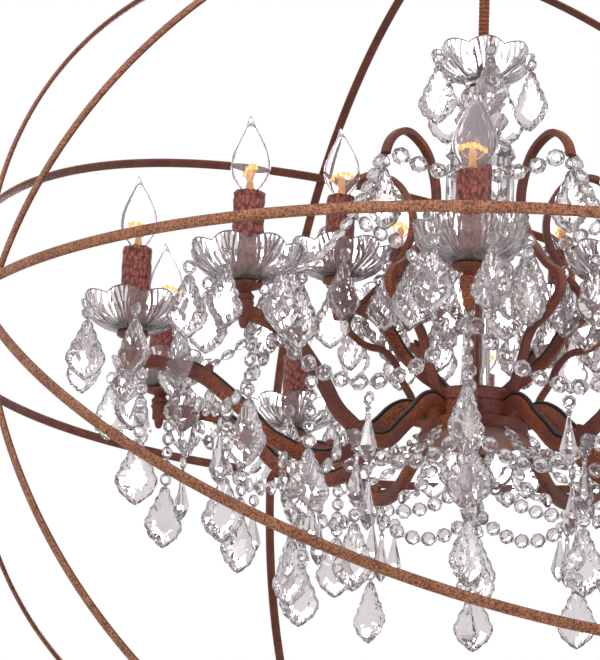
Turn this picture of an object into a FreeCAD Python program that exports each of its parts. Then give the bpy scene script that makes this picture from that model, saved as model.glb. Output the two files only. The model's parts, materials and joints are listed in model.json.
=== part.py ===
import FreeCAD, Part
import math
import os
from FreeCAD import Rotation, Vector

# Orb chandelier: iron hoops around a crystal chandelier with ten outer and five inner
# candle lights, hung on a short chain. Millimetres, +Z up. The origin is the middle of
# the crossbar's face on the ceiling. +X is the axis that the three loose hoops turn on.

# ---- driving dimensions ----

# ceiling fitting and chain
crossbar_length = 105.0
crossbar_width = 18.0
crossbar_thick = 2.4
ceiling_screw_spacing = 88.9
ceiling_screw_hole_r = 2.4
canopy_r = 65.0
canopy_height = 27.0
canopy_wall = 1.2
canopy_neck_r = 13.0
canopy_sides = 24
nipple_r = 5.0
nipple_sides = 12
collar_r = 11.0
collar_height = 8.0
collar_floor = 3.0
loop_inner_r = 9.0
chain_wire_r = 2.6
link_inner_length = 33.0
link_inner_width = 14.0
chain_play = 0.3
chain_links = 3
link_stations = 16

# hoops
orb_r = 457.0
bar_thick = 4.0
bar_width = 8.5
hoop_gap = 0.8
hoop_flats = 64
hole_sides = 10
washer_sides = 8
hoop_flat_turn = 180.0 / hoop_flats
cross_play = 0.05
outer_tilt = 39.0
middle_tilt = 75.5
inner_tilt = -50.0
pivot_r = 2.5
running_gap = 0.05
washer_r = 4.6
washer_play = 0.04
bolt_head_r = 5.0
bolt_head_height = 4.0
nut_height = 4.0

# stem and hub at the top of the hoops
stem_r = 4.75
stem_sides = 12
hub_bolt_r = 3.0
stem_gap = 0.15
hub_r = 15.0
hub_height = 26.0
hub_nut_r = 9.0
hub_nut_height = 6.0

# drum that the arms grow from
drum_r = 46.0
drum_top = -20.0
drum_height = 37.0
drum_wall = 2.0
drum_sides = 20
cover_r = 48.5
cover_thick = 4.0
finial_r = 10.0
finial_height = 14.0
ball_r = 19.0

# arms, straps and wires, each drawn in its own upright plane as (radius, height)
first_arm_turn = 26.0
outer_lights = 10
inner_lights = 5
straps = 5
arm_width = 7.0
outer_arm_depth = 10.0
outer_arm_root = -44.0
outer_arm_dip = -83.0
outer_arm_dip_r = 124.0
outer_light_r = 300.0
outer_arm_end = -18.0
inner_arm_depth = 8.0
inner_arm_root_r = 34.0
inner_light_r = 125.0
inner_arm_end = 49.0
arm_tail = 5.0
strap_depth = 6.0
strap_width = 8.0
strap_root = -29.0
strap_tip = 162.0
swag_play = 4.0
wire_size = 2.4
seat_gap = 0.05
bend_step = 24.0

# what stands on each arm end
cup_height = 17.0
cup_foot_r = 4.6
cup_waist_r = 6.5
cup_disc_r = 12.5
cup_disc_thick = 2.5
dish_foot_r = 16.0
dish_belly_r = 38.0
dish_belly_rise = 8.0
dish_r = 46.0
dish_height = 22.0
dish_lobe_dip = 4.0
dish_floor_r = 34.0
dish_floor_rise = 9.0
dish_lobes = 8
sleeve_r = 13.0
sleeve_wall = 1.6
sleeve_length = 66.0
sleeve_sides = 8
holder_r = 9.5
cap_r = 7.0
cap_height = 14.0
bulb_r = 16.0
bulb_length = 60.0
bulb_bend = 3.0
bulb_sides = 6

# glass column threaded on the stem
column_bore_gap = 0.6
column_sides = 12
lower_column_r = 14.0
cylinder_foot = 150.0
cylinder_r = 30.0
vase_foot = 196.0
vase_r = 31.0
vase_waist_r = 17.0
neck_foot = 238.0
neck_r = 21.0
top_dish_foot = 264.0
top_dish_r = 47.0
top_dish_height = 30.0
top_dish_lobes = 10
column_washer_r = 12.0

# cut crystal
bead_r = 8.6
bead_thick = 7.0
bead_gap = 0.3
small_bead_r = 6.0
small_bead_thick = 4.4
pendant_width = 32.0
pendant_height = 50.0
pendant_thick = 9.0
drop_width = 16.0
drop_height = 45.0
pendants_per_dish = 6
swag_sag = 30.0
under_swag_sag = 14.0
under_swag_r = 116.0
arm_drop_r = 140.0
top_stone_inset = 0.8

# ---- heights that follow ----

canopy_foot = -canopy_height
collar_foot = canopy_foot - collar_height
loop_centre = collar_foot - seat_gap - 2 * chain_wire_r - loop_inner_r
link_pitch = link_inner_length - chain_play
loop_to_link = loop_inner_r + link_inner_length / 2 - chain_play
hub_loop_centre = loop_centre - 2 * loop_to_link - (chain_links - 1) * link_pitch
hub_top = hub_loop_centre - loop_inner_r - 2 * chain_wire_r - seat_gap
cross_r = orb_r - bar_thick - cross_play
orb_centre = hub_top - hub_height - seat_gap - cross_r * math.cos(math.radians(hoop_flat_turn))
outer_hoop_r = cross_r - bar_thick - hoop_gap
middle_hoop_r = outer_hoop_r - bar_thick - hoop_gap
inner_hoop_r = middle_hoop_r - bar_thick - hoop_gap
flat_share = math.cos(math.radians(hoop_flat_turn))
drum_foot = drum_top - drum_height
drum_turn = first_arm_turn + 180.0 / drum_sides
drum_face_r = drum_r * math.cos(math.pi / drum_sides)
cover_face_r = cover_r * math.cos(math.pi / drum_sides)
cover_foot = drum_foot - cover_thick
outer_cup_foot = outer_arm_end + outer_arm_depth / 2
inner_cup_foot = inner_arm_end + inner_arm_depth / 2
bore_r = stem_r + column_bore_gap
strap_turn = first_arm_turn + 180.0 / straps
swag_middle_r = inner_light_r - sleeve_r - bead_thick / 2 - swag_play
strap_tip_r = swag_middle_r / math.cos(math.pi / straps) + strap_depth / 2

UP = Vector(0, 0, 1)
ALONG_X = Vector(1, 0, 0)
ALONG_Y = Vector(0, 1, 0)


# ---- small helpers ----

def moved(shape, x=0.0, y=0.0, z=0.0):
    copy = shape.copy()
    copy.translate(Vector(x, y, z))
    return copy


def turned(shape, degrees, axis=UP):
    copy = shape.copy()
    copy.rotate(Vector(0, 0, 0), axis, degrees)
    return copy


def around(shapes, count, first=0.0):
    """Copies of a list of shapes, spaced evenly round the upright axis."""
    step = 360.0 / count
    return [turned(s, first + step * k) for k in range(count) for s in shapes]


def polar(radius, degrees, z):
    angle = math.radians(degrees)
    return Vector(radius * math.cos(angle), radius * math.sin(angle), z)


def flat_face(points):
    return Part.Face(Part.makePolygon(points + points[:1]))


def patch(a, b, c, d):
    """A four-cornered face, split in two where its corners don't lie in one plane."""
    if a.isEqual(b, 1e-7):
        return [flat_face([a, c, d])]
    if c.isEqual(d, 1e-7):
        return [flat_face([a, b, c])]
    normal = (b - a).cross(c - a)
    normal.normalize()
    if abs((d - a).dot(normal)) < 1e-6:
        return [flat_face([a, b, c, d])]
    return [flat_face([a, b, c]), flat_face([a, c, d])]


def skin(rings, closed=False):
    """A solid with flat faces between rings of points. A ring of one point is a tip."""
    faces = []
    pairs = list(zip(rings, rings[1:]))
    if closed:
        pairs.append((rings[-1], rings[0]))
    else:
        faces += [flat_face(r) for r in (rings[0], rings[-1]) if len(r) > 1]
    for low, high in pairs:
        count = max(len(low), len(high))
        for k in range(count):
            a = low[k % len(low)]
            b = low[(k + 1) % len(low)]
            c = high[(k + 1) % len(high)]
            d = high[k % len(high)]
            faces += patch(a, b, c, d)
    solid = Part.makeSolid(Part.makeShell(faces))
    if solid.Volume < 0:
        solid.reverse()
    return solid


def fitting_r(radius, sides):
    """How far out the corners of a many-sided hole lie, so that a rod of this radius fits."""
    return radius / math.cos(math.pi / sides)


def faceted_turning(profile, sides, closed=False):
    """A turned piece with flat sides, from its (radius, height) outline."""
    rings = []
    for radius, z in profile:
        if radius == 0:
            rings.append([Vector(0, 0, z)])
        else:
            rings.append([polar(radius, 360.0 * k / sides, z) for k in range(sides)])
    return skin(rings, closed)


def rod(radius, foot, top, bore=0.0):
    solid = Part.makeCylinder(radius, top - foot, Vector(0, 0, foot), UP)
    if bore:
        solid = solid.cut(Part.makeCylinder(bore, top - foot, Vector(0, 0, foot), UP))
    return solid


def save(name, shapes, z=0.0):
    os.makedirs("parts", exist_ok=True)
    shapes = shapes if isinstance(shapes, list) else [shapes]
    placed = [moved(s, z=z) for s in shapes]
    solids = [s for shape in placed for s in shape.Solids]
    result = solids[0] if len(solids) == 1 else Part.makeCompound(solids)
    result.exportStep("parts/" + name + ".step")


# ---- bent flat bars ----

def unit(vector):
    return vector * (1.0 / vector.Length)


def left_of(heading):
    return Vector(-heading.z, 0, heading.x)


def arc_from(start, heading, end):
    """One arc that leaves start along heading: its start and end, each with its normal,
    and the heading it ends on."""
    normal = left_of(heading)
    chord = end - start
    across = chord.dot(normal)
    if abs(across) < 1e-5 * chord.Length:
        return [(start, normal), (end, normal)], heading
    radius = chord.dot(chord) / (2 * across)
    centre = start + normal * radius
    end_normal = (centre - end) * (1.0 / radius)
    return [(start, normal), (end, end_normal)], Vector(end_normal.z, 0, -end_normal.x)


def smooth_route(points, first, last):
    """Tangent arcs, two between each pair of points. first and last are the headings at
    the ends, in degrees above the outward direction."""
    spots = [Vector(r, 0, z) for r, z in points]
    headings = [Vector(math.cos(math.radians(first)), 0, math.sin(math.radians(first)))]
    for before, after in zip(spots, spots[2:]):
        headings.append(unit(after - before))
    headings.append(Vector(math.cos(math.radians(last)), 0, math.sin(math.radians(last))))
    arcs = []
    for k in range(len(spots) - 1):
        start, end = spots[k], spots[k + 1]
        leave, arrive = headings[k], headings[k + 1]
        gap = end - start
        both = leave + arrive
        bend = 2 * (1 - leave.dot(arrive))
        along = gap.dot(both)
        if bend < 1e-9:
            reach = gap.dot(gap) / (2 * along)
        else:
            reach = (math.sqrt(along * along + bend * gap.dot(gap)) - along) / bend
        joint = (start + leave * reach + end - arrive * reach) * 0.5
        first_arc, heading = arc_from(start, leave, joint)
        second_arc, heading = arc_from(joint, heading, end)
        arcs += [first_arc, second_arc]
    return arcs


def stations(route, offset, step):
    """Points beside a route, a chord for each step of its bends in degrees."""
    points = []
    for (start, normal), (end, end_normal) in route:
        turn = math.degrees(normal.getAngle(end_normal))
        chords = max(1, round(turn / step))
        for k in range(chords):
            points.append(on_arc((start, normal), (end, end_normal), k / chords, offset))
    end, normal = route[-1][1]
    return points + [end + normal * offset]


def on_arc(first, last, share, offset):
    """The point at a share of the way along an arc, moved sideways by offset."""
    (start, normal), (end, end_normal) = first, last
    turn = normal.getAngle(end_normal)
    if turn < 1e-4:
        return start + (end - start) * share + normal * offset
    swing = (math.sin(turn * (1 - share)) * normal + math.sin(turn * share) * end_normal)
    swing = swing * (1.0 / math.sin(turn))
    radius = (end - start).Length / (end_normal - normal).Length
    if (end - start).dot(end_normal - normal) > 0:
        radius = -radius
    centre = start + normal * radius
    return centre - swing * radius + swing * offset


def bent_bar(route, depth, width, offset=0.0):
    """A flat bar bent along the route, depth in its plane and width across it."""
    high = stations(route, offset + depth / 2, bend_step)
    low = stations(route, offset - depth / 2, bend_step)
    face = flat_face(high + low[::-1])
    return moved(face.extrude(Vector(0, width, 0)), y=-width / 2)


# ---- ceiling fitting ----

def make_crossbar():
    bar = Part.makeBox(crossbar_length, crossbar_width, crossbar_thick)
    bar = moved(bar, -crossbar_length / 2, -crossbar_width / 2, -crossbar_thick)
    middle_hole = [(nipple_r + running_gap, -crossbar_thick), (nipple_r + running_gap, 0)]
    bar = bar.cut(faceted_turning(middle_hole, nipple_sides))
    for side in (-1, 1):
        hole = rod(ceiling_screw_hole_r, -crossbar_thick, 0)
        bar = bar.cut(moved(hole, side * ceiling_screw_spacing / 2))
    return bar


def make_canopy():
    shoulder_r = canopy_r * 0.84
    shoulder_z = -canopy_height * 0.7
    return faceted_turning([
        (canopy_r - canopy_wall, 0), (canopy_r, 0), (canopy_r, -canopy_height * 0.3),
        (shoulder_r, shoulder_z), (canopy_neck_r, canopy_foot), (nipple_r + 3 * running_gap, canopy_foot),
        (nipple_r + 3 * running_gap, canopy_foot + canopy_wall), (canopy_neck_r, canopy_foot + canopy_wall),
        (shoulder_r - canopy_wall, shoulder_z + canopy_wall),
        (canopy_r - canopy_wall, -canopy_height * 0.3 + canopy_wall / 2),
    ], canopy_sides, closed=True)


def make_nipple():
    foot = collar_foot + collar_floor + seat_gap
    bore = nipple_r * 0.6
    return faceted_turning([(bore, foot), (nipple_r, foot), (nipple_r, 0), (bore, 0)],
                           nipple_sides, closed=True)


def make_collar():
    return faceted_turning([
        (0, collar_foot), (collar_r * 0.7, collar_foot), (collar_r, collar_foot + 3),
        (collar_r, canopy_foot), (nipple_r + 3 * running_gap, canopy_foot),
        (nipple_r + 3 * running_gap, collar_foot + collar_floor), (0, collar_foot + collar_floor),
    ], nipple_sides)


def wire_ring(path, normal):
    """A six-sided bar that follows a closed path of (point, outward) pairs."""
    rings = []
    for point, outward in path:
        ring = []
        for k in range(6):
            angle = math.radians(60 * k)
            ring.append(point + outward * (chain_wire_r * math.cos(angle))
                        + normal * (chain_wire_r * math.sin(angle)))
        rings.append(ring)
    return skin(rings, closed=True)


def oval_path(inner_length, inner_width):
    """Stations round an oval link that stands upright in the XZ plane."""
    end_r = inner_width / 2 + chain_wire_r
    straight = inner_length - inner_width
    path = []
    for k in range(link_stations):
        angle = 2 * math.pi * (k + 0.5) / link_stations
        outward = Vector(math.cos(angle), 0, math.sin(angle))
        shift = straight / 2 if outward.z > 0 else -straight / 2
        path.append((outward * end_r + Vector(0, 0, shift), outward))
    return path


def make_link(z, across):
    link = wire_ring(oval_path(link_inner_length, link_inner_width), ALONG_Y)
    return moved(turned(link, 90 if across else 0), z=z)


def make_loop(z):
    loop = wire_ring(oval_path(2 * loop_inner_r, 2 * loop_inner_r), ALONG_Y)
    return moved(loop, z=z)


# ---- hoops ----

def hoop_bar(outer_r):
    """A level hoop, rolled from flat bar with a short flat across each of its holes."""
    corners = [(-bar_thick, -0.5), (0, -0.5), (0, 0.5), (-bar_thick, 0.5)]
    rings = []
    for k in range(hoop_flats):
        turn = hoop_flat_turn * (2 * k + 1)
        rings.append([polar(outer_r + inset, turn, side * bar_width) for inset, side in corners])
    return skin(rings, closed=True)


def both_ends(shape):
    return [shape, turned(shape, 180)]


def along_x(shape):
    """Lays a piece that was made upright down along +X."""
    return turned(shape, 90, ALONG_Y)


def drill():
    """Cuts the bolt holes through both sides of a hoop, along X."""
    corner = fitting_r(pivot_r + running_gap, hole_sides)
    return along_x(faceted_turning([(corner, -orb_r - 5), (corner, orb_r + 5)], hole_sides))


def hoop(outer_r, tilt):
    return turned(hoop_bar(outer_r).cut(drill()), tilt, ALONG_X)


def make_level_hoop():
    return hoop(orb_r, 0).cut(turned(drill(), 90))


def make_cross_hoop():
    ring = turned(hoop_bar(cross_r), 90, ALONG_Y).cut(turned(drill(), 90))
    return ring.cut(faceted_turning([(hub_bolt_r, 0), (hub_bolt_r, orb_r)], stem_sides))


def bolt_head():
    """A six-sided head that stands on the level hoop's outside."""
    seat = flat_share * orb_r + seat_gap
    return faceted_turning([(bolt_head_r, seat), (bolt_head_r, seat + bolt_head_height)], 6)


def make_pivot_bolts():
    foot = flat_share * (inner_hoop_r - bar_thick) - nut_height
    bolt = rod(pivot_r, foot, flat_share * orb_r + seat_gap).fuse(bolt_head())
    return both_ends(along_x(bolt))


def hex_nut(outer_r, bore, foot, height):
    return faceted_turning([(fitting_r(bore, 6), foot), (outer_r, foot), (outer_r, foot + height),
                            (fitting_r(bore, 6), foot + height)], 6, closed=True)


def make_pivot_nuts():
    seat = flat_share * (inner_hoop_r - bar_thick) - washer_play
    return both_ends(along_x(hex_nut(bolt_head_r, pivot_r + running_gap, seat - nut_height, nut_height)))


def make_pivot_washers():
    washers = []
    faces = [(outer_hoop_r, orb_r - bar_thick), (middle_hoop_r, outer_hoop_r - bar_thick),
             (inner_hoop_r, middle_hoop_r - bar_thick)]
    for low, high in faces:
        foot = flat_share * low + washer_play
        top = flat_share * high - washer_play
        bore = fitting_r(pivot_r + running_gap, washer_sides)
        washer = faceted_turning([(bore, foot), (washer_r, foot), (washer_r, top), (bore, top)],
                                 washer_sides, closed=True)
        washers += both_ends(along_x(washer))
    return washers


def make_cross_screws():
    seat = flat_share * orb_r + seat_gap
    shank = faceted_turning([(pivot_r, flat_share * (cross_r - bar_thick)), (pivot_r, seat)], 6)
    screw = shank.fuse(bolt_head())
    return [turned(s, 90) for s in both_ends(along_x(screw))]


# ---- stem, hub and drum ----

def make_hub():
    foot = flat_share * cross_r + seat_gap
    top = foot + hub_height
    return faceted_turning([
        (0, foot + hub_height * 0.55), (stem_r + stem_gap, foot + hub_height * 0.5),
        (stem_r + stem_gap, foot), (hub_r * 0.7, foot), (hub_r, foot + 6), (hub_r, foot + 11),
        (hub_r * 0.6, foot + 17), (hub_r * 0.5, top), (0, top),
    ], 16)


def make_hub_nut():
    top = flat_share * (cross_r - bar_thick) - seat_gap
    return hex_nut(hub_nut_r, stem_r, top - hub_nut_height, hub_nut_height)


def make_stem():
    """The rod that carries the chandelier, thinner where it passes the cross hoop."""
    neck_r = hub_bolt_r - seat_gap
    shoulder = flat_share * (cross_r - bar_thick) - seat_gap
    collar_z = flat_share * cross_r + seat_gap
    return faceted_turning([
        (stem_r, cover_foot - finial_height * 0.7), (stem_r, shoulder), (neck_r, shoulder),
        (neck_r, collar_z), (stem_r, collar_z), (stem_r, collar_z + hub_height * 0.45),
    ], stem_sides)


def make_drum():
    hole = stem_r + stem_gap
    inner = drum_r - drum_wall
    return turned(faceted_turning([
        (hole, drum_top), (drum_r, drum_top), (drum_r, drum_foot), (inner, drum_foot),
        (inner, drum_top - drum_wall), (hole, drum_top - drum_wall),
    ], drum_sides, closed=True), drum_turn)


def make_cover():
    hole = stem_r + stem_gap
    return turned(faceted_turning([
        (hole, cover_foot), (cover_r - 8, cover_foot), (cover_r, drum_foot - 1.5),
        (cover_r, drum_foot), (hole, drum_foot),
    ], drum_sides, closed=True), drum_turn)


def make_finial():
    top = cover_foot
    foot = top - finial_height
    return faceted_turning([
        (0, top - finial_height * 0.75), (stem_r + stem_gap, top - finial_height * 0.72),
        (stem_r + stem_gap, top), (finial_r, top), (finial_r * 1.1, top - 3),
        (finial_r * 0.6, top - 7), (finial_r * 0.35, foot), (0, foot),
    ], 12)


def make_finial_ball():
    top = cover_foot - finial_height - seat_gap
    rows = [(ball_r * math.sin(math.radians(a)), top - ball_r + ball_r * math.cos(math.radians(a)))
            for a in (12, 50, 90, 130)]
    return faceted_turning(rows + [(0, top - 2 * ball_r)], 10)


# ---- glass column on the stem ----

def bored(profile, sides=column_sides):
    """A faceted glass turning with the stem's bore through it."""
    foot, top = profile[0][1], profile[-1][1]
    return faceted_turning([(bore_r, foot)] + profile + [(bore_r, top)], sides, closed=True)


def make_lower_column():
    return bored([(lower_column_r, drum_top + seat_gap), (lower_column_r * 0.8, 60),
                  (lower_column_r, cylinder_foot - 4)])


def make_cylinder():
    return bored([(cylinder_r, cylinder_foot), (cylinder_r, vase_foot - 4)])


def make_vase():
    middle = (vase_foot + neck_foot) / 2
    return bored([(vase_r, vase_foot), (vase_r * 0.9, vase_foot + 8), (vase_waist_r, middle),
                  (vase_r * 0.8, neck_foot - 6), (vase_r * 0.7, neck_foot - 3)])


def make_neck():
    middle = (neck_foot + top_dish_foot - 3) / 2
    return bored([(neck_r * 0.55, neck_foot), (neck_r, middle), (neck_r * 0.55, top_dish_foot - 3)])


def make_column_washers():
    gaps = [(cylinder_foot - 4, cylinder_foot), (vase_foot - 4, vase_foot),
            (neck_foot - 3, neck_foot), (top_dish_foot - 3, top_dish_foot)]
    bore = fitting_r(stem_r + stem_gap, washer_sides)
    return [faceted_turning([(bore, low + seat_gap), (column_washer_r, low + seat_gap),
                             (column_washer_r, high - seat_gap), (bore, high - seat_gap)],
                            washer_sides, closed=True) for low, high in gaps]


def lobed_ring(radius, z, dip, lobes):
    """Points round a scalloped rim: each lobe's crown, then the notch beside it."""
    ring = []
    for k in range(2 * lobes):
        notch = k % 2
        ring.append(polar(radius - dip * notch, 180.0 * k / lobes, z - dip * notch))
    return ring


def even_ring(radius, z, count):
    return [polar(radius, 360.0 * k / count, z) for k in range(count)]


def make_top_dish():
    count = 2 * top_dish_lobes
    foot = top_dish_foot
    rings = [
        even_ring(bore_r, foot, count), even_ring(top_dish_r * 0.4, foot, count),
        even_ring(top_dish_r * 0.8, foot + top_dish_height * 0.3, count),
        lobed_ring(top_dish_r, foot + top_dish_height, dish_lobe_dip, top_dish_lobes),
        even_ring(top_dish_r * 0.66, foot + top_dish_height * 0.45, count),
        even_ring(bore_r, foot + 6, count),
    ]
    return skin(rings, closed=True)


# ---- lights: the pieces that stand on one arm end, at radius r with their foot at z ----

def make_cup(r, z):
    return moved(faceted_turning([
        (cup_foot_r, 0), (cup_waist_r, cup_height * 0.55), (cup_disc_r, cup_height - cup_disc_thick),
        (cup_disc_r, cup_height),
    ], 8), x=r, z=z)


def make_dish(r, z):
    count = 2 * dish_lobes
    rings = [
        even_ring(dish_foot_r, 0, count), even_ring(dish_belly_r, dish_belly_rise, count),
        lobed_ring(dish_r, dish_height, dish_lobe_dip, dish_lobes),
        even_ring(dish_floor_r, dish_floor_rise, count),
    ]
    return moved(skin(rings), x=r, z=z + cup_height)


def sleeve_foot(z):
    return z + cup_height + dish_floor_rise


def make_holder(r, z):
    foot = sleeve_foot(z)
    top = foot + sleeve_length - cap_height
    return moved(faceted_turning([(holder_r, foot), (holder_r, top)], 6), x=r)


def make_sleeve(r, z):
    foot = sleeve_foot(z)
    top = foot + sleeve_length
    inner = sleeve_r - sleeve_wall
    return moved(faceted_turning([(inner, foot), (sleeve_r, foot), (sleeve_r, top), (inner, top)],
                                 sleeve_sides, closed=True), x=r)


def make_cap(r, z):
    top = sleeve_foot(z) + sleeve_length
    return moved(faceted_turning([(cap_r, top - cap_height), (cap_r, top)], 6), x=r)


def make_bulb(r, z):
    foot = sleeve_foot(z) + sleeve_length
    rings = [even_ring(radius * bulb_r, foot + share * bulb_length, bulb_sides)
             for radius, share in ((0.6, 0), (1, 0.3), (0.86, 0.55), (0.34, 0.82))]
    tip = Vector(bulb_bend, 0, foot + bulb_length)
    return moved(skin(rings + [[tip]]), x=r)


# ---- cut crystal ----

def crystal(outline, thick, waist):
    """A flat stone: an outline in the YZ plane, with a point raised on both faces."""
    front = Vector(thick / 2, 0, waist)
    back = Vector(-thick / 2, 0, waist)
    ring = [Vector(0, y, z) for y, z in outline]
    return skin([[front], ring, [back]])


def make_small_bead():
    half = small_bead_r * 0.8
    return crystal([(0, small_bead_r), (-half, 0), (0, -small_bead_r), (half, 0)], small_bead_thick, 0)


def make_pendant(scale=1.0):
    """A leaf-shaped stone that hangs from its top point at the origin."""
    half = pendant_width * scale / 2
    high = pendant_height * scale
    return crystal([(0, 0), (-half, -high * 0.36), (-half * 0.7, -high * 0.72), (0, -high),
                    (half * 0.7, -high * 0.72), (half, -high * 0.36)],
                   pendant_thick * scale, -high * 0.45)


def make_drop():
    half = drop_width / 2
    return crystal([(0, 0), (-half, -drop_height * 0.7), (0, -drop_height), (half, -drop_height * 0.7)],
                   drop_width * 0.8, -drop_height * 0.7)


def hung(stone, r, z):
    """A small bead with a stone under it, hung below the point (r, z)."""
    bead = moved(make_small_bead(), x=r, z=z - bead_gap - small_bead_r)
    below = moved(stone, x=r, z=z - 2 * bead_gap - 2 * small_bead_r)
    return [bead, below]


def dish_stones(r, z):
    """The stones round one dish, whose arm end is at radius r and height z."""
    rim = dish_r - dish_lobe_dip
    slope = (dish_height - dish_lobe_dip - dish_belly_rise) / (rim - dish_belly_r)
    hang_r = rim - 1
    hang_z = z + cup_height + dish_height - dish_lobe_dip - slope * 1.0 - bead_gap
    stones = around(hung(make_pendant(0.86), hang_r, hang_z), pendants_per_dish, 22.5)
    return [moved(s, x=r) for s in stones]


def even_steps(start, end, sag, pitch):
    """Points spaced evenly along a line that sags between its two ends."""
    fine = 240
    line = [start + (end - start) * (k / fine) - UP * (4 * sag * (k / fine) * (1 - k / fine))
            for k in range(fine + 1)]
    lengths = [0.0]
    for a, b in zip(line, line[1:]):
        lengths.append(lengths[-1] + (b - a).Length)
    count = max(2, round(lengths[-1] / pitch))
    points = []
    for k in range(count + 1):
        goal = lengths[-1] * k / count
        spot = min(range(fine + 1), key=lambda i: abs(lengths[i] - goal))
        points.append(line[spot])
    return points


def strand(start, end, sag):
    """Beads tip to tip along a line that hangs between two points."""
    points = even_steps(start, end, sag, 2 * bead_r + bead_gap)
    beads = []
    for a, b in zip(points, points[1:]):
        along = unit(b - a)
        middle = (a + b) * 0.5
        outward = Vector(middle.x, middle.y, 0)
        outward = unit(outward - along * outward.dot(along))
        half = ((b - a).Length - bead_gap) / 2
        side = along.cross(outward)
        ring = [middle + along * half, middle + side * bead_r * 0.8,
                middle - along * half, middle - side * bead_r * 0.8]
        front = middle + outward * (bead_thick / 2)
        back = middle - outward * (bead_thick / 2)
        beads.append(skin([[front], ring, [back]]))
    return beads


def height_under(route, depth, r):
    """The height of a bent bar's lower edge at radius r."""
    low = stations(route, -depth / 2, bend_step)
    for a, b in zip(low, low[1:]):
        if min(a.x, b.x) <= r <= max(a.x, b.x):
            return a.z + (b.z - a.z) * (r - a.x) / (b.x - a.x)


# ---- routes of the arms and straps ----

outer_route = smooth_route([
    (drum_face_r + seat_gap, outer_arm_root), (drum_r + 30, outer_arm_root - 7),
    (outer_arm_dip_r, outer_arm_dip), (outer_arm_dip_r + 46, outer_arm_dip + 12),
    (outer_light_r - 92, outer_arm_end - 31), (outer_light_r - 46, outer_arm_end - 6),
    (outer_light_r + arm_tail, outer_arm_end),
], 0, 0)
inner_route = smooth_route([
    (inner_arm_root_r, drum_top + seat_gap), (inner_arm_root_r + 16, drum_top + 16),
    (inner_arm_root_r + 32, drum_top + 30), (inner_light_r - 45, inner_arm_end - 19),
    (inner_light_r - 27, inner_arm_end - 5), (inner_light_r + arm_tail, inner_arm_end),
], 90, 0)
strap_route = smooth_route([
    (drum_face_r + seat_gap, strap_root), (drum_r + 18, strap_root + 21), (80, 22), (108, 36), (121, 56),
    (98, 78), (74, 106), (62, 134), (66, strap_tip), (strap_tip_r - 49, strap_tip + 22),
    (strap_tip_r - 21, strap_tip + 26), (strap_tip_r, strap_tip),
], 0, -80)


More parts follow.
